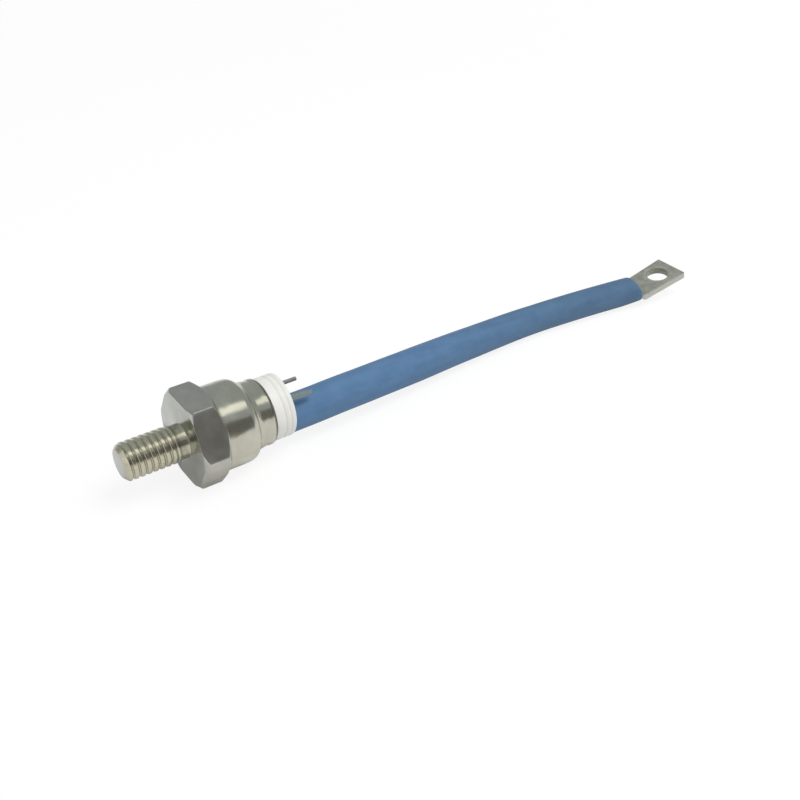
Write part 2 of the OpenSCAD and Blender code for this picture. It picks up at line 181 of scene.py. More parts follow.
# %% Start of a finish
class Finish:
    """A material with its shader, coordinates and the sums that most finishes need."""

    GRAIN = 0.55

    def __init__(self, name):
        self.material = bpy.data.materials.new(name)
        self.material.use_nodes = True
        self.tree = self.material.node_tree
        self.shader = self.tree.nodes["Principled BSDF"]
        self.wire = Wire(self.tree)
        self.place = self.wire.node("TexCoord", {}, {}, out="Object")
        self.x, self.y, self.z = self.parts(self.place)
        self.radius = (self.y * self.y + self.z * self.z).root()

    def parts(self, place):
        return [self.wire.node("SeparateXYZ", {}, {0: place}, out=i) for i in range(3)]

    def noise(self, scale, detail, stretch=(1, 1, 1), at=None):
        spot = self.wire.node("VectorMath", {"operation": "MULTIPLY"},
                              {0: at or self.place, 1: stretch})
        return self.wire.node("TexNoise", {}, {"Vector": spot, "Scale": scale, "Detail": detail,
                                               "Roughness": self.GRAIN})

    def hoops(self, across, round_about):
        """Fine lines round the stud's axis, on walls and on faces alike, with no seam."""
        spot = self.wire.node("CombineXYZ", {}, {0: self.radius + self.x, 1: self.y, 2: self.z})
        return self.noise(1.0, 2, (across, round_about, round_about), spot)

    def set(self, colour, rough, bump, depth, strength, **plain):
        """Links what varies, with the bump's depth in mm; plain values go on the shader itself."""
        relief = self.wire.node("Bump", {}, {"Strength": strength, "Distance": depth * MM,
                                             "Height": bump})
        for name, wire in (("Base Color", colour), ("Roughness", rough), ("Normal", relief)):
            self.tree.links.new(wire.socket, self.shader.inputs[name])
        for name, value in plain.items():
            self.shader.inputs[name.replace("_", " ")].default_value = value
        return self.material


print("finish helper ready")

# %% [markdown]
# The part lies on white paper in a plain studio. The paper is an ordinary lit surface for everything
# that bounces off it; for the camera most of its white is a glow, so it reads as white and keeps a
# faint shadow. Farther out the glow grows, so that the sheet runs into the white behind it without a
# horizon. More lamps could also make the paper white, but they would wash out the part.

# %% Paper
FLOOR_SIDE = 12
TABLE_Z = cad_box[0][2]


def flat_card(name, matrix, width, height, material):
    mesh = bpy.data.meshes.new(name)
    bm = bmesh.new()
    bmesh.ops.create_grid(bm, x_segments=1, y_segments=1, size=0.5)
    bmesh.ops.scale(bm, vec=(width, height, 1), verts=bm.verts)
    bmesh.ops.transform(bm, matrix=matrix, verts=bm.verts)
    bm.to_mesh(mesh)
    bm.free()
    mesh.materials.append(material)
    card = placed(name, mesh)
    return card


def bare_tree(owner):
    """Empties the nodes of a material or a world and gives a first wire to add to."""
    owner.use_nodes = True
    owner.node_tree.nodes.clear()
    return Wire(owner.node_tree)


def rays(wire):
    """Masks for what the camera sees, what metal mirrors and what comes through glass."""
    kinds = ("Is Camera Ray", "Is Glossy Ray", "Is Transmission Ray")
    return [wire.node("LightPath", {}, {}, out=kind) for kind in kinds]


paper = bpy.data.materials.new("white_paper")
wire = bare_tree(paper)
by_camera, in_metal, through_glass = rays(wire)
spot = wire.node("TexCoord", {}, {}, out="Object")
grain = wire.node("TexNoise", {}, {"Vector": spot, "Scale": 60.0})
away = wire.node("VectorMath", {"operation": "LENGTH"}, {0: spot}, out="Value")
sheet = grain.mix(rgb(0.8, 0.8, 0.8), rgb(0.82, 0.82, 0.82))
shade = by_camera.mix(sheet, rgb(0.16, 0.16, 0.16))
white = by_camera * (0.86 + away.ease(0.4, 1.4) * 0.1) + in_metal.most(through_glass) * 0.14
lit = wire.node("BsdfDiffuse", {}, {"Color": shade})
shine = wire.node("Emission", {}, {"Color": rgb(1, 1, 1), "Strength": white})
wire.node("OutputMaterial", {}, {"Surface": wire.node("AddShader", {}, {0: lit, 1: shine})})
flat_card("floor", Matrix.Translation((0, 0, TABLE_Z)), FLOOR_SIDE, FLOOR_SIDE, paper)
print("table at", round(TABLE_Z, 4), "m")

# %% [markdown]
# Nickel shows what stands round it, so cards stand about the table, as in a studio: grey ones behind,
# overhead and past the lug, a dark one on the near side, and a long bright strip that gives bare metal
# the lamp's own gleam. The cards glow a little and are seen only in reflections, which leaves the
# light on the paper and the plastic as it is. Lamps in their place would light everything else too.

# %% Cards
LAMP_WAY = Vector((0.343, -0.32, 0.884)).normalized()


def glow(name, colour, strength):
    material = bpy.data.materials.new(name)
    wire = bare_tree(material)
    light = wire.node("Emission", {}, {"Color": colour, "Strength": strength})
    wire.node("OutputMaterial", {}, {"Surface": light})
    return material


grey = glow("grey_card", rgb(0.93, 1, 1.03), 0.44)
dark = glow("dark_card", rgb(1, 1, 0.97), 0.16)
bright = glow("lamp_face", rgb(1, 1, 0.97), 1.4)
level = Matrix.Identity(4)
upright = Matrix.Rotation(math.pi / 2, 4, "X")
sideways = Matrix.Rotation(math.pi / 2, 4, "Y")
facing = Vector((0, *LAMP_WAY.yz)).to_track_quat("Z", "Y").to_matrix().to_4x4()
CARDS = {
    "far_card": ((0.5, 1.3, 0.55), upright, 5, 1.1, grey),
    "top_card": ((0.5, 0, 1.1), level, 5, 2.6, grey),
    "near_card": ((0.4, -1.3, 0.53), upright, 5, 1.06, dark),
    "end_card": ((1.6, 0, 0.55), sideways, 1.1, 2.6, grey),
    "lamp_card": ((0.1, *LAMP_WAY.yz), facing, 1.6, 0.34, bright),
}
for name, (middle, turn, width, height, material) in CARDS.items():
    card = flat_card(name, Matrix.Translation(middle) @ turn, width, height, material)
    card.visible_camera = False
    card.visible_shadow = False
    card.visible_diffuse = False
print("cards:", ", ".join(CARDS))

# %% [markdown]
# One soft lamp over the lead's side of the table gives half of the light, and a pale sky gives the
# rest, so that shadows stay open and a colour renders about as it is written. The lamp itself isn't
# mirrored in the metal; the bright strip stands in for it, because its length can be chosen freely.

# %% Lamp and sky
LAMP_AWAY, SKY = 1.05, 0.48

lamp = bpy.data.lights.new("key_lamp", "AREA")
lamp.shape = "SQUARE"
lamp.size = 0.6
lamp.energy = 6.0
stand = placed("key_lamp", lamp)
stand.location = LAMP_WAY * LAMP_AWAY
stand.rotation_euler = LAMP_WAY.to_track_quat("Z", "Y").to_euler()
stand.visible_glossy = False

world = bpy.data.worlds.new("studio")
bpy.context.scene.world = world
wire = bare_tree(world)
by_camera, in_metal, through_glass = rays(wire)
seen = in_metal.most(by_camera.most(through_glass))
sky = wire.node("Background", {}, {"Color": rgb(1, 1, 1), "Strength": seen * (1 - SKY) + SKY})
wire.node("OutputWorld", {}, {"Surface": sky})
bpy.context.scene.view_settings.view_transform = "Standard"
print("lamp of", lamp.energy, "W at", LAMP_AWAY, "m, sky", SKY)

# %% [markdown]
# The lead is a stranded copper rope in a smooth blue sleeve. It leaves the ceramic level, sinks to the
# table and runs on to the lug. Its route is a smooth curve through points that were read off the
# photograph, worked out here instead of in a curve object because the sleeve's rings, the measured
# length and the lug all need the same points.

# %% Route of the lead
LEAD_EXIT = Vector((32.5, -0.70146, -4.19171))
ROUTE = [(0, 0, 0), (10, 0, 0), (20, 0.4, -0.1), (30, 1, -0.5), (40, 1.8, -1), (50, 2.7, -1.6),
         (60, 3.7, -2.2), (70, 4.7, -2.8), (80, 5.5, -3.4), (90, 6.1, -3.8), (100, 6.3, -4),
         (110, 6.1, -4.2), (120, 5.4, -4.2), (130, 4.5, -4.2), (140, 3.4, -4.2), (153, 1.8, -4.2)]
TABLE_FALL = 4.20829
stretch = TABLE_FALL / -ROUTE[-1][2]
knots = [(LEAD_EXIT + Vector((x, y, z * stretch))) * MM for x, y, z in ROUTE]


def along_route(t):
    """Point at t knots along the route, on a smooth curve through all of them."""
    last = len(knots) - 1
    i = min(int(t), last - 1)
    f = t - i
    before, here, there, after = (knots[min(max(k, 0), last)] for k in (i - 1, i, i + 1, i + 2))
    slope_in = (there - before) / 2 if i else there - here
    slope_out = (after - here) / 2 if i < last - 1 else there - here
    point = (here * (2 * f**3 - 3 * f**2 + 1) + slope_in * (f**3 - 2 * f**2 + f)
             + there * (3 * f**2 - 2 * f**3) + slope_out * (f**3 - f**2))
    point.z = max(point.z, knots[-1].z)
    return point


STEPS = 8
line = [along_route(k / STEPS) for k in range(STEPS * (len(knots) - 1) + 1)]
lead_length = sum((b - a).length for a, b in zip(line, line[1:]))
print("lead", round(lead_length * 1000, 1), "mm over", len(line), "points")

# %% [markdown]
# The sleeve's blue is a soft plastic that has been handled: slightly cloudy, with faint streaks along
# its length, a satin sheen that varies and a paler band at its open end. Cloudy noise gives the
# patches, and a noise stretched along the lead gives the streaks. Both are weak, because the sleeve
# reads as one even blue.

# %% Sleeve finish
TAIL_TIP = 0.16
tail = ((knots[-1] - knots[-2]).normalized() + Vector((0, 0, TAIL_TIP))).normalized()

blue = Finish("blue_sleeve")
clouds = blue.noise(170, 4)
specks = blue.noise(900, 2)
streaks = blue.noise(420, 2, stretch=(0.06, 1, 1))
mottle = (clouds * 0.6 + streaks * 0.4).ease(0.36, 0.66)
near_blue = mottle.mix(rgb(0.088, 0.19, 0.35), rgb(0.112, 0.225, 0.4))
far_blue = mottle.mix(rgb(0.076, 0.155, 0.265), rgb(0.096, 0.182, 0.3))
shade = blue.x.ease(60 * MM, 190 * MM).mix(near_blue, far_blue)
shade = (specks.ease(0.62, 0.8) * 0.2).mix(shade, rgb(0.16, 0.28, 0.43))
past = blue.wire.node("VectorMath", {"operation": "DOT_PRODUCT"}, {0: blue.place, 1: tuple(tail)},
                      out="Value")
cut_end = (past - knots[-1].dot(tail)).ease(-0.3 * MM, 0.4 * MM)
shade = (cut_end * 0.3).mix(shade, rgb(0.34, 0.44, 0.52))
blue_sleeve = blue.set(shade, clouds.ease(0.3, 0.7) * 0.14 + 0.46, specks * 0.5 + streaks, 0.03, 0.25,
                       Specular_IOR_Level=0.35)
print("sleeve finish:", len(blue.tree.nodes), "nodes")

# %% [markdown]
# The sleeve is a tube, a little thicker over its near half, and its last few rings lie flatter and tip
# up, because they are shrunk over the lug. It could be a curve with a bevel, but a ring pulled along the
# route, over a rounded lip and back inside can also be given the wall that shows at the open end.

# %% Stations of the sleeve
NEAR_R, FAR_R = 5.85 * MM, 5.1 * MM
TAPER_FROM, TAPER_TO = 53 * MM, 108 * MM
SHRUNK_L, TAIL_LIFT, WIDER, FLATTER = 9 * MM, 0.3, 0.19, 0.17
WALL = 1.2
LIP = ((0.1, 0.03), (0.4, 0.14), (0.56, 0.35), (0.6, 0.6), (0.6, 0.85), (0.54, 1.08), (0.3, WALL))


def sleeve_r(x):
    t = min(1, max(0, (x - knots[0].x - TAPER_FROM) / (TAPER_TO - TAPER_FROM)))
    return NEAR_R + (FAR_R - NEAR_R) * t


def station(point, forward, radius, height=None):
    """Matrix that carries a circle of radius 1 to a point, square to the way forward."""
    side = Vector((0, 0, 1)).cross(forward).normalized()
    rise = forward.cross(side)
    turn = Matrix((side * radius, rise * (height or radius), forward * radius))
    return Matrix.Translation(point) @ turn.transposed().to_4x4()


last = len(line) - 1
headings = [(line[min(i + 1, last)] - line[max(i - 1, 0)]).normalized() for i in range(last + 1)]
headings[0] = Vector((1, 0, 0))


def shaped(i, inset=0, further=0):
    """Ring i of the sleeve, drawn in by inset and moved further along, both in millimetres."""
    k = max(0, 1 - (line[-1] - line[i]).length / SHRUNK_L) ** 2
    way = (headings[i] + Vector((0, 0, TAIL_TIP * k))).normalized()
    r = sleeve_r(line[i].x)
    middle = line[i] + Vector((0, 0, TAIL_LIFT * k)) * MM + way * further * MM
    return station(middle, way, r * (1 + WIDER * k) - inset * MM, r * (1 - FLATTER * k) - inset * MM)


stops = [shaped(i) for i in range(last + 1)]
stops += [shaped(last, inset, further) for further, inset in LIP]
stops += [shaped(i, WALL) for i in range(last, -1, -1)]
print("sleeve stations:", len(stops))

# %% [markdown]
# Swept pieces come from one move: a ring of edges is pulled from one place to the next, as clay is
# pulled through a die. An extrusion copies the ring, and a matrix carries each copy to its station. A
# curve modifier could sweep as well, but a ring that is pulled can change its size and its tilt at every
# stop, which the sleeve, the base and the pins all need.

# %% Skin of the sleeve
def pulled(bm, edges, move):
    """Extrudes a ring of edges and moves each new point to move(point)."""
    made = bmesh.ops.extrude_edge_only(bm, edges=edges)["geom"]
    for item in made:
        if isinstance(item, bmesh.types.BMVert):
            item.co = move(item.co)
    return [item for item in made if isinstance(item, bmesh.types.BMEdge)]


def swept(places, segments):
    """Pulls a ring through all places; gives the bmesh, its first ring and its last."""
    bm = bmesh.new()
    bmesh.ops.create_circle(bm, cap_ends=False, segments=segments, radius=1)
    bmesh.ops.transform(bm, matrix=places[0], verts=bm.verts)
    first = ring = bm.edges[:]
    for a, b in zip(places, places[1:]):
        ring = pulled(bm, ring, lambda co: b @ (a.inverted() @ co))
    return bm, first, ring


SLEEVE_SIDES = 48
bm, first_ring, last_ring = swept(stops, SLEEVE_SIDES)
bmesh.ops.bridge_loops(bm, edges=first_ring + last_ring)
print("sleeve skin:", len(bm.faces), "faces")

# %% [markdown]
# Every finished bmesh becomes an object in the same way: smooth shading up to an angle, its finishes,
# and its place on the frame. One helper does that, so no piece can miss a step. The frame is told which
# body the piece rides on and which solid it takes the place of.

# %% Sleeve
def finished(bm, name, finishes, node, sharp=34, normals=True):
    """Makes the object, shades it smooth up to the angle sharp, and sets it on the frame."""
    if normals:
        bmesh.ops.recalc_face_normals(bm, faces=bm.faces)
    mesh = bpy.data.meshes.new(name)
    bm.to_mesh(mesh)
    bm.free()
    mesh.polygons.foreach_set("use_smooth", [True] * len(mesh.polygons))
    mesh.set_sharp_from_angle(angle=math.radians(sharp))
    for finish in finishes:
        mesh.materials.append(finish)
    piece = placed(name, mesh)
    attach(piece, "root")
    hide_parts(node)
    print(name, len(mesh.vertices), "points,", len(mesh.polygons), "faces")
    return piece


sleeve = finished(bm, "lead_sleeve_smooth", [blue_sleeve], "lead_sleeve")

# %% [markdown]
# The lug is tinned copper, stamped flat and drilled. Tin goes dull and blotchy with age, and a bolt has
# rubbed a brighter ring round the hole. The ring could be painted on an unwrapped palm; here it is drawn
# from the distance to the hole's own axis, for which a Mapping node turns the coordinates into the lug's
# frame, so it stays centred and round.

# %% Lug finish
LUG_DROP, LUG_SIDE, LUG_PITCH = 1.2, -0.5, -11.5
HOLE_X, HOLE_R, PALM_L, PALM_T = 13.7, 4.1, 21.4, 2.6
LUG_AT = knots[-1] - Vector((0, 0, LUG_DROP)) * MM
LUG_TURN = (Matrix.Rotation(math.radians(LUG_SIDE), 4, "Z")
            @ Matrix.Rotation(math.radians(LUG_PITCH), 4, "Y"))

tin = Finish("dull_tin")
local = tin.wire.node("Mapping", {"vector_type": "TEXTURE"},
                      {"Vector": tin.place, "Location": tuple(LUG_AT),
                       "Rotation": tuple(LUG_TURN.to_euler())})
u, v, w = tin.parts(local)
du = u - HOLE_X * MM
reach = (du * du + v * v).root()
blotch = tin.noise(330, 5)
fine = tin.noise(1800, 3)
worn = reach.ease(6.2 * MM, 4.8 * MM) * reach.ease(3.9 * MM, 4.1 * MM)
hole_wall_shade = reach.ease(4.18 * MM, 4.05 * MM)
sides_painted_light = w.ease(1.28 * MM, 1.0 * MM)
shade = blotch.ease(0.35, 0.65).mix(rgb(0.36, 0.365, 0.31), rgb(0.46, 0.465, 0.4))
shade = (fine.ease(0.6, 0.78) * 0.35).mix(shade, rgb(0.27, 0.265, 0.21))
# Everything below the palm's top face is painted paler: painted light, as the lit sides look.
shade = (sides_painted_light * 0.7).mix(shade, rgb(0.6, 0.61, 0.56))
shade = (worn * 0.3).mix(shade, rgb(0.6, 0.6, 0.55))
# The hole's wall is painted almost black: painted shade inside the hole.
shade = (hole_wall_shade * 0.85).mix(shade, rgb(0.17, 0.15, 0.085))
dull_tin = tin.set(shade, blotch * 0.2 + 0.36 - worn * 0.1, fine + blotch, 0.03, 0.35, Metallic=0.6)
print("lug finish:", len(tin.tree.nodes), "nodes")

# %% [markdown]
# The palm grows from its hole: a ring of points at the hole is pulled out to the palm's outline, and the
# flat ring between them is extruded to the thickness of the copper. A plate with a boolean hole would
# need its edges mended first; this way leaves clean edges to bevel.

# %% Outline of the palm
PALM_X, ROOT_X, ROOT_HALF, FLARE, CORNER = 1.6, 2.7, 6.1, 0.7, 0.5
HOLE_SIDES, TINY = 144, 1e-6


def outline_point(co):
    """Where a ray from the hole's middle through co meets the palm's outline, corners still square."""
    way = Vector((co.x - HOLE_X, co.y, 0)).normalized()
    limits = []
    if way.x > TINY:
        limits.append((PALM_L - HOLE_X) / way.x)
    if way.x < -TINY:
        limits.append((PALM_X - HOLE_X) / way.x)
    if abs(way.y) > TINY:
        flare = FLARE / (PALM_L - ROOT_X)
        half_here = ROOT_HALF + flare * (HOLE_X - ROOT_X)
        limits.append(half_here / (abs(way.y) - flare * way.x))
    return Vector((HOLE_X, 0, co.z)) + way * min(limits)


bm = bmesh.new()
bmesh.ops.create_circle(bm, cap_ends=False, segments=HOLE_SIDES, radius=HOLE_R)
bmesh.ops.translate(bm, vec=(HOLE_X, 0, PALM_T / 2), verts=bm.verts)
outer = pulled(bm, bm.edges[:], outline_point)
inner = Vector((PALM_L - CORNER, ROOT_HALF + FLARE - CORNER, 0))
for point in {v for e in outer for v in e.verts}:
    over = Vector((point.co.x, abs(point.co.y), 0)) - inner
    if over.x > 0 and over.y > 0 and over.length > CORNER:
        over *= CORNER / over.length
        y = math.copysign(inner.y + over.y, point.co.y)
        point.co = Vector((inner.x + over.x, y, point.co.z))
print("palm outline:", len(outer), "edges")

# %% [markdown]
# A stamped edge is never sharp: the punch leaves a small round along the palm's rim, and the drill leaves
# a smaller one at the hole. A Bevel modifier would round both alike, so the two sorts of rim are picked
# out by where they lie, and each gets a bevel of its own.

# %% Thickness and rims of the palm
HOLE_ROUND, EDGE_ROUND, RIM_ANGLE = 0.1, 0.3, 1.2

lower = bmesh.ops.extrude_face_region(bm, geom=bm.faces[:])["geom"]
lower_points = [g for g in lower if isinstance(g, bmesh.types.BMVert)]
bmesh.ops.translate(bm, vec=(0, 0, -PALM_T), verts=lower_points)
bmesh.ops.recalc_face_normals(bm, faces=bm.faces)


def softened(bm, geom, offset, segments, affect="VERTICES"):
    """Rounds corners of a line, or edges of a solid, by the offset."""
    bmesh.ops.bevel(bm, geom=geom, offset=offset, offset_type="OFFSET", segments=segments, profile=0.5,
                    affect=affect, clamp_overlap=affect == "EDGES", material=-1)


def is_rim(edge):
    """An edge all round the top or the bottom of the palm or of its hole."""
    level = abs(edge.verts[0].co.z - edge.verts[1].co.z) < 0.1
    return level and len(edge.link_faces) == 2 and edge.calc_face_angle() > RIM_ANGLE


def by_hole(edge):
    return math.hypot(edge.verts[0].co.x - HOLE_X, edge.verts[0].co.y) < HOLE_R + 0.1


for near_hole, round_off in ((True, HOLE_ROUND), (False, EDGE_ROUND)):
    rims = [e for e in bm.edges if is_rim(e) and by_hole(e) == near_hole]
    softened(bm, rims, round_off, 3, "EDGES")
print("palm:", len(bm.faces), "faces")

# %% [markdown]
# Between the barrel in the sleeve and the flat palm the copper is pressed, over a short length. That is a
# ring drawn from round to flat: each ring is part circle and part rectangle, and neighbours are bridged.
# The barrel lies level in the sleeve while the palm tips up, so the round end is set in the sleeve's frame.

# %% Press between barrel and palm
BARREL_R, PRESS_HALF, PRESS_THICK, PRESS_SIDES = 3.7, 6.02, 1.26, 64
PRESS = ((0, -10), (0, -6), (0.1, -3.5), (0.22, -1.5), (0.38, 0), (0.62, 0.5), (0.86, 1.0),
         (0.97, 1.4), (1, 1.8), (1, 2.6))
LEVEL_WAY = Matrix.Rotation(math.radians(-7.02), 4, "Z")


def squeezed(share, x):
    """A ring that is the round barrel at share 0 and the flat of the palm at share 1."""
    ring = bmesh.ops.create_circle(bm, cap_ends=False, segments=PRESS_SIDES, radius=1)["verts"]
    for point in ring:
        c, s = point.co.x, point.co.y
        box = 1 / max(abs(c) / PRESS_HALF, abs(s) / PRESS_THICK)
        level = LEVEL_WAY @ Vector((x, BARREL_R * c, BARREL_R * s)) + Vector((0, 0, LUG_DROP))
        point.co = (LUG_TURN.inverted() @ level).lerp(Vector((x, box * c, box * s)), share)
    return list({e for point in ring for e in point.link_edges})


def capped(bm, edges):
    bmesh.ops.edgeloop_fill(bm, edges=edges)


press = [squeezed(share, x) for share, x in PRESS]
for a, b in zip(press, press[1:]):
    bmesh.ops.bridge_loops(bm, edges=a + b)
capped(bm, press[0])
capped(bm, press[-1])
bmesh.ops.scale(bm, vec=(MM, MM, MM), verts=bm.verts)
bmesh.ops.transform(bm, matrix=Matrix.Translation(LUG_AT) @ LUG_TURN, verts=bm.verts)
lug = finished(bm, "pressed_lug", [dull_tin], "terminal_lug")

# %% [markdown]
# A lead also has facts that no mesh can tell: where it leaves the part, how long and thick it is, how
# stiff, and what hangs on its end. This cell sets none of them and only prints a line; the lead's length
# is the one measured along the route above.

# %% Facts of the lead
print("lead and lug built above")

# %% [markdown]
# The base is copper under a satin nickel plate. Its faces and its corners were turned, so they carry fine
# rings round the axis, while the flats kept the lines of the drawn bar. The rolled thread is warmer, as is
# the shank beside it, and its roots are painted darker as painted shade. One finish could not show all
# three surfaces, so there are three of one colour family, and they still read as one metal.

# %% Nickel finishes
turned = Finish("turned_nickel")
rings = turned.hoops(3500, 40)
patina = turned.noise(260, 4)
shade = patina.ease(0.3, 0.7).mix(rgb(0.43, 0.44, 0.4), rgb(0.5, 0.51, 0.47))
shade = (rings.ease(0.55, 0.8) * 0.2).mix(shade, rgb(0.37, 0.37, 0.335))
turned_nickel = turned.set(shade, patina * 0.08 + rings * 0.06 + 0.09, rings, 0.006, 0.25, Metallic=1.0)

drawn = Finish("drawn_nickel")
lines = drawn.noise(1.0, 3, stretch=(60, 2600, 2600))
patina = drawn.noise(240, 4)
shade = patina.ease(0.3, 0.7).mix(rgb(0.485, 0.475, 0.425), rgb(0.565, 0.55, 0.495))
shade = (lines.ease(0.55, 0.8) * 0.3).mix(shade, rgb(0.38, 0.38, 0.335))
drawn_nickel = drawn.set(shade, patina * 0.12 + lines * 0.1 + 0.2, lines, 0.01, 0.4, Metallic=1.0)

rolled = Finish("rolled_thread")
grit = rolled.noise(1400, 3)
groove = rolled.radius.ease(5.48 * MM, 5.1 * MM)
on_thread = rolled.x.ease(-3 * MM, -5 * MM)
shade = grit.ease(0.3, 0.7).mix(rgb(0.55, 0.525, 0.41), rgb(0.64, 0.61, 0.49))
# The thread's roots are painted darker: painted shade in the grooves.
shade = (groove * on_thread * 0.15).mix(shade, rgb(0.25, 0.225, 0.16))
rolled_thread = rolled.set(shade, grit * 0.1 + 0.19, grit, 0.01, 0.3, Metallic=1.0)
print("three nickel finishes")

# %% [markdown]
# The hexagon is a length of drawn bar. It starts as a six-sided ring whose corners are rounded by a vertex
# bevel. Then each side is cut into many short edges, because a corner that is turned off a hexagon ends in
# a curve on every flat, and a curve needs points. The radius at each point is kept for the next step.

# %% Outline of the hexagon
AF, HEX_T = 27.0, 8.65
TIP = AF / 2 / math.cos(math.pi / 6)
CORNER_ROUND, FLAT_CUTS = 0.3, 20

bm = bmesh.new()
bmesh.ops.create_circle(bm, cap_ends=False, segments=6, radius=TIP)
softened(bm, bm.verts[:], CORNER_ROUND, 3)
flats = [e for e in bm.edges if e.calc_length() > AF / 4]
bmesh.ops.subdivide_edges(bm, edges=flats, cuts=FLAT_CUTS)
bmesh.ops.transform(bm, matrix=Matrix.Rotation(math.pi / 2, 4, "Y"), verts=bm.verts)


def turn_of(co):
    return round(math.atan2(co.z, co.y), 4)


outline = {turn_of(v.co): math.hypot(v.co.y, v.co.z) for v in bm.verts}
facings = sorted({round(math.degrees(t)) for t, r in outline.items() if abs(r - AF / 2) < 0.02})
print("outline of", len(outline), "points, flats face", facings)

# %% [markdown]
# The ring is pulled along the axis: out of a shallow recess inside the can's foot, round the turned
# corners at the back, over the flats, down the turned corners at the seat, across the face and out along
# the shank. Pulling one ring keeps every edge break in a single skin, with no boolean to clean up.

# %% Skin of the base
FACE_R, BACK_R = TIP - 1.4, TIP - 1.75
FACE_FALL, BACK_FALL = 0.9, 0.75
RECESS_R, RECESS_X = 12.0, 8.0
PEDESTAL_R, PEDESTAL_X = 11.0, 9.5
SHANK_R, SHANK_L, SHANK_END_R = 5.3, 2.4, 3.8
BREAK, FILLET, SKIN_MERGE = 0.22, 0.3, 0.002


def at(co, r, x):
    turn = math.atan2(co.z, co.y)
    return Vector((x, r * math.cos(turn), r * math.sin(turn)))


def edge_r(co):
    turn = turn_of(co)
    return outline.get(turn) or outline[min(outline, key=lambda t: abs(t - turn))]


def seat_r(co):
    return min(edge_r(co), FACE_R)


def cut_x(co):
    """Where the turned corner at the seat starts on this line of the outline."""
    return max(0, (edge_r(co) - FACE_R) * FACE_FALL)


def back_x(co):
    """Where the turned corner at the back starts on this line of the outline."""
    return HEX_T - max(0, (edge_r(co) - BACK_R) * BACK_FALL)


stages = [lambda c: at(c, PEDESTAL_R, RECESS_X),
          lambda c: at(c, RECESS_R, RECESS_X),
          lambda c: at(c, RECESS_R, HEX_T),
          lambda c: at(c, min(edge_r(c), BACK_R) - BREAK, HEX_T),
          lambda c: at(c, min(edge_r(c), BACK_R + 0.06) - 0.06, HEX_T - 0.05),
          lambda c: at(c, edge_r(c) - 0.05, back_x(c) - 0.07),
          lambda c: at(c, edge_r(c), back_x(c) - BREAK),
          lambda c: at(c, edge_r(c), cut_x(c) + 0.16),
          lambda c: at(c, edge_r(c) - 0.04, cut_x(c) + 0.05),
          lambda c: at(c, min(edge_r(c) - 0.1, seat_r(c) + 0.08),
                       max(0.012, min(cut_x(c), 0.08 * FACE_FALL))),
          lambda c: at(c, seat_r(c) - 0.18, 0),
          lambda c: at(c, SHANK_R + FILLET, 0),
          lambda c: at(c, SHANK_R + 0.08, -0.08),
          lambda c: at(c, SHANK_R, -FILLET),
          lambda c: at(c, SHANK_R, -SHANK_L),
          lambda c: at(c, SHANK_END_R, -SHANK_L)]
for point in bm.verts:
    point.co = at(point.co, PEDESTAL_R, PEDESTAL_X)
first_ring = ring = bm.edges[:]
for stage in stages:
    ring = pulled(bm, ring, stage)
capped(bm, first_ring)
capped(bm, ring)
bmesh.ops.remove_doubles(bm, verts=bm.verts, dist=SKIN_MERGE)
bmesh.ops.scale(bm, vec=(MM, MM, MM), verts=bm.verts)
print("base skin:", len(bm.faces), "faces")

# %% [markdown]
# One bar shows three surfaces: the lathe's on the seat, the back and the turned corners, the drawn bar's
# on the flats, and the thread's on the shank. Each face takes its finish from where it lies and which way
# it looks. Masks in one material could do the same, but three slots keep each recipe short.

# %% Finishes of the base
TURNED, DRAWN, ROLLED = range(3)

bm.normal_update()
for face in bm.faces:
    middle = face.calc_center_median() / MM
    on_flat = abs(face.normal.x) < 0.3 and math.hypot(middle.y, middle.z) > AF / 2 - 0.2
    face.material_index = DRAWN if on_flat else ROLLED if middle.x < -0.05 else TURNED
print("faces on the flats:", sum(face.material_index == DRAWN for face in bm.faces))

# %% [markdown]
# A rolled thread is a groove that climbs by one pitch a turn. A profile one pitch long, spun with a step
# along the axis, lays turn against turn exactly as the die does. This one is worn and thickly plated, so
# its crests are broad and round. A stack of rings would be quicker, but it would show as rings.

# %% Turns of the thread
THREAD_R, STUD_L, TIP_BREAK = 5.7, 19.5, 0.12
PITCH, DEPTH, TURNS, STEPS_A_TURN, START_SHIFT = 1.957, 0.6, 11, 64, 0.809
MERGE = 0.001
RISE = [(0, 0), (0.1, 0.04), (0.2, 0.22), (0.31, 0.55), (0.42, 0.8), (0.55, 0.93), (0.73, 0.985),
        (PITCH / 2, 1)]

thread_start = -STUD_L - PITCH - START_SHIFT
profile = RISE + [(PITCH - x, share) for x, share in reversed(RISE[:-1])]
thread = bmesh.new()
points = [thread.verts.new((thread_start + x, THREAD_R - DEPTH * (1 - share), 0))
          for x, share in profile]
edges = [thread.edges.new(pair) for pair in zip(points, points[1:])]
bmesh.ops.spin(thread, geom=points + edges, cent=(0, 0, 0), axis=(1, 0, 0),
               dvec=(PITCH / STEPS_A_TURN, 0, 0), angle=math.tau * TURNS, steps=STEPS_A_TURN * TURNS)
bmesh.ops.remove_doubles(thread, verts=thread.verts, dist=MERGE)
for x, way in ((-STUD_L + TIP_BREAK, -1), (-SHANK_L, 1)):
    whole = thread.verts[:] + thread.edges[:] + thread.faces[:]
    bmesh.ops.bisect_plane(thread, geom=whole, dist=1e-5, plane_co=(x, 0, 0), plane_no=(way, 0, 0),
                           clear_outer=True)
print("thread:", len(thread.faces), "faces")

# %% [markdown]
# The ends of the thread are turned down: a chamfer at the tip, and a run-out of about one turn where the
# thread meets the shank. Both could be cut with a boolean, but here they only move points towards or away
# from the axis, so the turns stay whole and the skin stays closed.

# %% Ends of the thread
TIP_R, RUN_OUT = 4.36, 2.0
TIP_ROUND = ((4.2, 0.045), (3.95, 0.015), (2.5, 0.0))

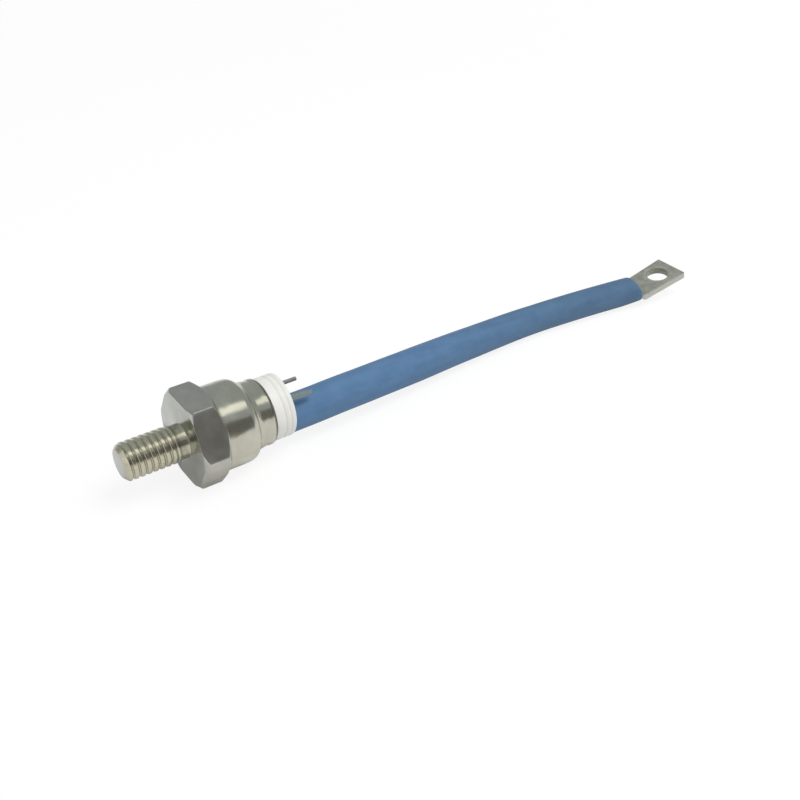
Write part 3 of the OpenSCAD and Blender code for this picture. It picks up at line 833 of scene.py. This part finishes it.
for point in thread.verts:
    x = point.co.x
    chamfer = TIP_R + (x + STUD_L - TIP_BREAK)
    run_out = min(1, max(0, (x + SHANK_L + RUN_OUT) / RUN_OUT))
    r = min(math.hypot(point.co.y, point.co.z), chamfer)
    r += (SHANK_R - r) * run_out * run_out * (3 - 2 * run_out)
    point.co = at(point.co, r, x)
bmesh.ops.remove_doubles(thread, verts=thread.verts, dist=MERGE)
ends = [e for e in thread.edges if e.is_boundary]
tip_ring = [e for e in ends if e.verts[0].co.x < -STUD_L / 2]
for r, x in TIP_ROUND:
    tip_ring = pulled(thread, tip_ring, lambda c: at(c, r, x - STUD_L))
capped(thread, tip_ring)
capped(thread, [e for e in thread.edges if e.is_boundary])
bmesh.ops.recalc_face_normals(thread, faces=thread.faces)
bmesh.ops.scale(thread, vec=(MM, MM, MM), verts=thread.verts)
for face in thread.faces:
    at_tip = face.calc_center_median().x < (-STUD_L + 0.15) * MM
    face.material_index = TURNED if at_tip else ROLLED
print("thread with its ends:", len(thread.faces), "faces")

# %% [markdown]
# On the real part hexagon and stud are one bar, so the two skins go into one mesh. A union would have to
# cut through the thread's many faces; instead the thread's closed skin meets the end of the shank, radius
# to radius. Each skin has its normals set before they come together.

# %% Base and thread in one piece
carrier = bpy.data.meshes.new("thread_turns")
thread.to_mesh(carrier)
thread.free()
bmesh.ops.recalc_face_normals(bm, faces=bm.faces)
bm.from_mesh(carrier)
bpy.data.meshes.remove(carrier)
finished(bm, "hexagon_and_stud", [turned_nickel, drawn_nickel, rolled_thread],
         "stud_base", sharp=38, normals=False)

# %% [markdown]
# The can is steel under bright nickel. Pressed metal is never quite flat, so a weak, slow wave in the
# bump bends every reflection a little; without it they would be ruled straight. Fine hoops and smears
# vary the sheen, and the rolled lip's end at the ceramic is painted dark as painted shade in the gap.

# %% Can finish
cup = Finish("plated_can")
smears = cup.noise(150, 5)
hoops = cup.hoops(1800, 60)
lip_end_shade = cup.x.ease(24.9 * MM, 25.15 * MM)
shade = smears.ease(0.3, 0.7).mix(rgb(0.52, 0.51, 0.425), rgb(0.6, 0.59, 0.5))
shade = (cup.noise(700, 2).ease(0.62, 0.78) * 0.3).mix(shade, rgb(0.42, 0.41, 0.34))
# The lip's end next to the ceramic is painted dark: painted shade in the gap.
shade = (lip_end_shade * 0.75).mix(shade, rgb(0.14, 0.13, 0.1))
waves = cup.noise(190, 1) + (hoops * 0.6 + smears) * 0.03
plated_can = cup.set(shade, smears * 0.1 + hoops * 0.06 + 0.13, waves, 0.2, 0.9, Metallic=1.0)
print("can finish:", len(cup.tree.nodes), "nodes")

# %% [markdown]
# The can is a cup, drawn in one press: a weld flange at its foot, a straight wall, a soft shoulder and a
# neck whose rolled lip grips the ceramic. A line of points gives its whole section. The shoulder is two
# equal arcs, one swelling out and one hollow, worked out from its length and its drop. Drawing thins the
# metal, so wall and neck both lean in by a fraction of a millimetre towards the lip.

# %% Section of the can
CAN_R, BORE_R, CAN_WALL, FLANGE_R, FLANGE_T = 13.0, 12.0, 1.0, 13.25, 0.5
LIP_R, LIP_BORE_R, SEAM_X = 10.4, 9.3, 25.6
ARC_STEPS = 12


def shoulder(top, foot, inset=0):
    """Two arcs from the wall at top to the neck at foot, each a (radius, station)."""
    bend = 2 * math.atan((top[0] - foot[0]) / (foot[1] - top[1]))
    r = (foot[1] - top[1]) / (2 * math.sin(bend))
    turns = [bend * i / ARC_STEPS for i in range(ARC_STEPS + 1)]
    swell = [(top[0] - r + (r - inset) * math.cos(t), top[1] + (r - inset) * math.sin(t))
             for t in turns[1:]]
    hollow = [(foot[0] + r - (r + inset) * math.cos(t), foot[1] - (r + inset) * math.sin(t))
              for t in turns[-2:0:-1]]
    return swell + hollow


flange_x = HEX_T + FLANGE_T
outside = [(BORE_R, HEX_T), (FLANGE_R, HEX_T), (FLANGE_R, flange_x), (CAN_R, flange_x + 0.05),
           (CAN_R, 15.0), (12.95, 16.2)]
outside += shoulder((12.88, 16.7), (10.5, 21.9))
outside += [(10.16, 23.7), (LIP_R, 24.2), (LIP_R, SEAM_X), (LIP_BORE_R, SEAM_X)]
inside = shoulder((CAN_R, 18.0), (10.3, 21.4), CAN_WALL)[::-1] + [(BORE_R, 18.0), (BORE_R, HEX_T)]
end = len(outside)
rounds = [(1, 0.12), (2, 0.22), (3, 0.05), (end - 4, 0.3), (end - 3, 0.15), (end - 2, 0.5)]
print("can section:", len(outside + inside), "points,", len(rounds), "rounds")

# %% [markdown]
# A section becomes a body on a lathe, and a spin does the same here. The corners of the line get their
# small rounds first, by a vertex bevel, and then the line turns once round the stud's axis. A Screw
# modifier could turn it too, but its seam would still have to be closed and its normals set.

# %% Can
def spun(bm, profile, rounds, steps=128):
    """Turns (radius, station) points in millimetres; rounds gives (point, radius) for corners."""
    points = [bm.verts.new((x * MM, r * MM, 0)) for r, x in profile]
    for pair in zip(points, points[1:]):
        bm.edges.new(pair)
    for i, r in rounds:
        softened(bm, [points[i]], r * MM, 4)
    wire_edges = [e for e in bm.edges if not e.link_faces]
    wire_verts = list({v for e in wire_edges for v in e.verts})
    bmesh.ops.spin(bm, geom=wire_verts + wire_edges, cent=(0, 0, 0), axis=(1, 0, 0), angle=math.tau,
                   steps=steps, use_merge=True)
    bmesh.ops.remove_doubles(bm, verts=bm.verts, dist=1e-7)
    bmesh.ops.recalc_face_normals(bm, faces=bm.faces)


bm = bmesh.new()
spun(bm, outside + inside, rounds)
finished(bm, "drawn_can", [plated_can], "housing_can")

# %% [markdown]
# The insulator is glazed alumina, white with a trace of cream, and its grooves are a little greyer.
# Fired white is never one even value, so a soft cloud shifts it and fine pores break the glaze. The grey
# follows the distance from the axis, so it lies in the grooves by itself.

# %% Ceramic finish
fired = Finish("white_ceramic")
cream = fired.noise(120, 4)
pores = fired.noise(2400, 2)
groove_grey = fired.radius.ease(9.85 * MM, 9.5 * MM) * fired.x.ease(27.5 * MM, 28.2 * MM)
shade = cream.ease(0.3, 0.7).mix(rgb(0.875, 0.868, 0.825), rgb(0.925, 0.918, 0.88))
shade = (pores.ease(0.66, 0.8) * 0.25).mix(shade, rgb(0.68, 0.67, 0.6))
shade = (groove_grey * 0.25).mix(shade, rgb(0.6, 0.59, 0.54))
white_ceramic = fired.set(shade, cream * 0.15 + 0.24, pores + cream, 0.02, 0.2)
print("ceramic finish:", len(fired.tree.nodes), "nodes")

# %% [markdown]
# Two shallow grooves round the insulator lengthen the path that a stray current would have to take over
# its surface. It is turned like the can; small vertex bevels on the profile keep the groove edges and
# the rim as soft as a fired edge is.

# %% Ceramic
BODY_R, SPIGOT_R, SPIGOT_X, BODY_X, RIM_X = 9.9, 9.2, 21.8, 25.9, 32.5
GROOVES, GROOVE_DEPTH, GROOVE_TOP, GROOVE_FLOOR = (28.9, 30.7), 0.2, 0.45, 0.2
FOOT_ROUND, GROOVE_ROUND, RIM_ROUND = 0.2, 0.15, 0.5

profile = [(0, SPIGOT_X), (SPIGOT_R, SPIGOT_X), (SPIGOT_R, BODY_X), (BODY_R, BODY_X)]
rounds = [(3, FOOT_ROUND)]
for middle in GROOVES:
    rounds += [(len(profile) + k, GROOVE_ROUND) for k in range(4)]
    profile += [(BODY_R, middle - GROOVE_TOP), (BODY_R - GROOVE_DEPTH, middle - GROOVE_FLOOR),
                (BODY_R - GROOVE_DEPTH, middle + GROOVE_FLOOR), (BODY_R, middle + GROOVE_TOP)]
rounds += [(len(profile), RIM_ROUND)]
profile += [(BODY_R, RIM_X), (0, RIM_X)]
bm = bmesh.new()
spun(bm, profile, rounds)
finished(bm, "turned_ceramic", [white_ceramic], "ceramic_insulator")

# %% [markdown]
# Two control pins stand beside the lead. They are short tinned wires, dull and a little dark, and the
# thicker one is painted bluer as a painted reflection of the blue sleeve beside it. A cloudy noise dulls
# the tin, and a noise stretched along the wire gives the scrapes. A mask across the part tells one pin
# from the other, so one finish serves both.

# %% Pin finish
tinned = Finish("tinned_pin")
dull = tinned.noise(900, 4)
scrape = tinned.noise(1.0, 2, stretch=(300, 5000, 5000))
sleeve_blue_reflection = tinned.y.ease(2 * MM, -2 * MM)
shade = dull.ease(0.3, 0.7).mix(rgb(0.28, 0.295, 0.28), rgb(0.37, 0.385, 0.365))
shade = (scrape.ease(0.58, 0.8) * 0.3).mix(shade, rgb(0.46, 0.47, 0.45))
# The thicker pin is painted bluer: a painted reflection of the blue sleeve beside it.
shade = (sleeve_blue_reflection * 0.6).mix(shade, rgb(0.25, 0.33, 0.37))
tinned_pin = tinned.set(shade, dull * 0.2 + 0.42, dull + scrape, 0.01, 0.3, Metallic=0.6)
print("pin finish:", len(tinned.tree.nodes), "nodes")

# %% [markdown]
# One pin is straight; the thicker one is bent down by hand and thins towards its end. A small ring pulled
# along a few stations makes each, with the last rings drawn in for the blunt end that cutters leave. A
# cylinder would do for the straight pin, but not for the bent one.

# %% Pins
RING_R, RING_TURN, APART = 6.5, 81, 56.5
GATE_R, GATE_STOPS = 0.65, (22, 32.5, 36, 41.5)
AUXILIARY_R, AUXILIARY_TAPER, AUXILIARY_STOPS = 1.0, 0.7, (22, 32.2, 32.9)
ELBOW_X, LEAN, LEAN_STOPS = 33.5, 3, (0.3, 0.9, 4.0, 7.4)
PIN_SIDES, BLUNT_L, BLUNT = 24, 0.3, ((0.1, 0.93), (0.02, 0.75), (0, 0.4))


def pin(name, node, route, radius, taper=1.0):
    """Sweeps a wire along the route, in millimetres; taper is the share of the radius at its end."""
    ways = [(b - a).normalized() for a, b in zip(route, route[1:])]
    ways = [ways[0]] + [(a + b).normalized() for a, b in zip(ways, ways[1:])] + [ways[-1]]
    places = [station(p * MM, w, radius * MM) for p, w in zip(route, ways)]
    end, way = route[-1], ways[-1]
    places[-1] = station((end - way * BLUNT_L) * MM, way, radius * taper * MM)
    places += [station((end - way * back) * MM, way, radius * taper * share * MM)
               for back, share in BLUNT]
    bm, first, ring = swept(places, PIN_SIDES)
    capped(bm, first)
    capped(bm, ring)
    finished(bm, name, [tinned_pin], node)


def ring_place(turn, x):
    return Vector((x, RING_R * math.cos(math.radians(turn)), RING_R * math.sin(math.radians(turn))))


straight = [ring_place(RING_TURN - APART, x) for x in GATE_STOPS]
pin("gate_pin_wire", "gate_pin", straight, GATE_R)
elbow = ring_place(RING_TURN + APART, ELBOW_X)
lean = Vector((math.cos(math.radians(LEAN)), 0, -math.sin(math.radians(LEAN))))
bent = [ring_place(RING_TURN + APART, x) for x in AUXILIARY_STOPS]
bent += [elbow + lean * s for s in LEAN_STOPS]
pin("auxiliary_pin_wire", "auxiliary_pin", bent, AUXILIARY_R, AUXILIARY_TAPER)

# %% [markdown]
# The pieces inside the can keep the shapes of the solid model, because nobody sees them on the finished
# part. They still get the finish of their material, so that a section through the model tells copper
# from molybdenum and mica from steel. One small recipe with its own colours serves them all. The braze
# seam alone is painted near-black, as painted shade between the can's lip and the ceramic.

# %% Inner finishes
INNER = {
    # The braze seam is painted near-black: painted shade between the can's lip and the ceramic.
    "braze_seam_shade": (["braze_seam"], (0.07, 0.065, 0.055), (0.14, 0.13, 0.11), 0.6, 0.45),
    "bare_copper": (["cathode_header", "cathode_post", "lead_conductor"],
                    (0.68, 0.38, 0.25), (0.76, 0.46, 0.32), 1.0, 0.28),
    "ground_molybdenum": (["support_disc"], (0.44, 0.44, 0.46), (0.54, 0.54, 0.56), 1.0, 0.38),
    "polished_silicon": (["silicon_wafer"], (0.14, 0.15, 0.18), (0.22, 0.23, 0.27), 0.8, 0.12),
    "silvered_disc": (["contact_disc"], (0.8, 0.8, 0.78), (0.88, 0.88, 0.87), 1.0, 0.25),
    "split_mica": (["mica_washer"], (0.5, 0.4, 0.27), (0.64, 0.54, 0.4), 0.0, 0.4),
    "spring_steel": (["thrust_ring", "lower_disc_spring", "upper_disc_spring", "retaining_ring"],
                     (0.36, 0.36, 0.36), (0.46, 0.46, 0.46), 1.0, 0.32),
    "insulating_tube": (["insulating_sleeve", "gate_tube"],
                        (0.8, 0.77, 0.68), (0.88, 0.85, 0.78), 0.0, 0.45),
    "gold_wire": (["gate_wire"], (0.76, 0.56, 0.2), (0.86, 0.68, 0.3), 1.0, 0.25),
}
for name, (members, deep, pale, metallic, rough) in INNER.items():
    hidden = Finish(name)
    cloud = hidden.noise(380, 4)
    grain = hidden.noise(1500, 2)
    shade = (cloud * 0.7 + grain * 0.3).ease(0.35, 0.65).mix(rgb(*deep), rgb(*pale))
    hidden.set(shade, cloud * 0.16 + (rough - 0.08), grain, 0.01, 0.3, Metallic=metallic)
    for member in members:
        nodes[member].data.materials.clear()
        nodes[member].data.materials.append(hidden.material)
print("inner finishes:", len(INNER))

# %% [markdown]
# Last, the view layer is brought up to date before the scene is closed.

# %% Last update
bpy.context.view_layer.update()
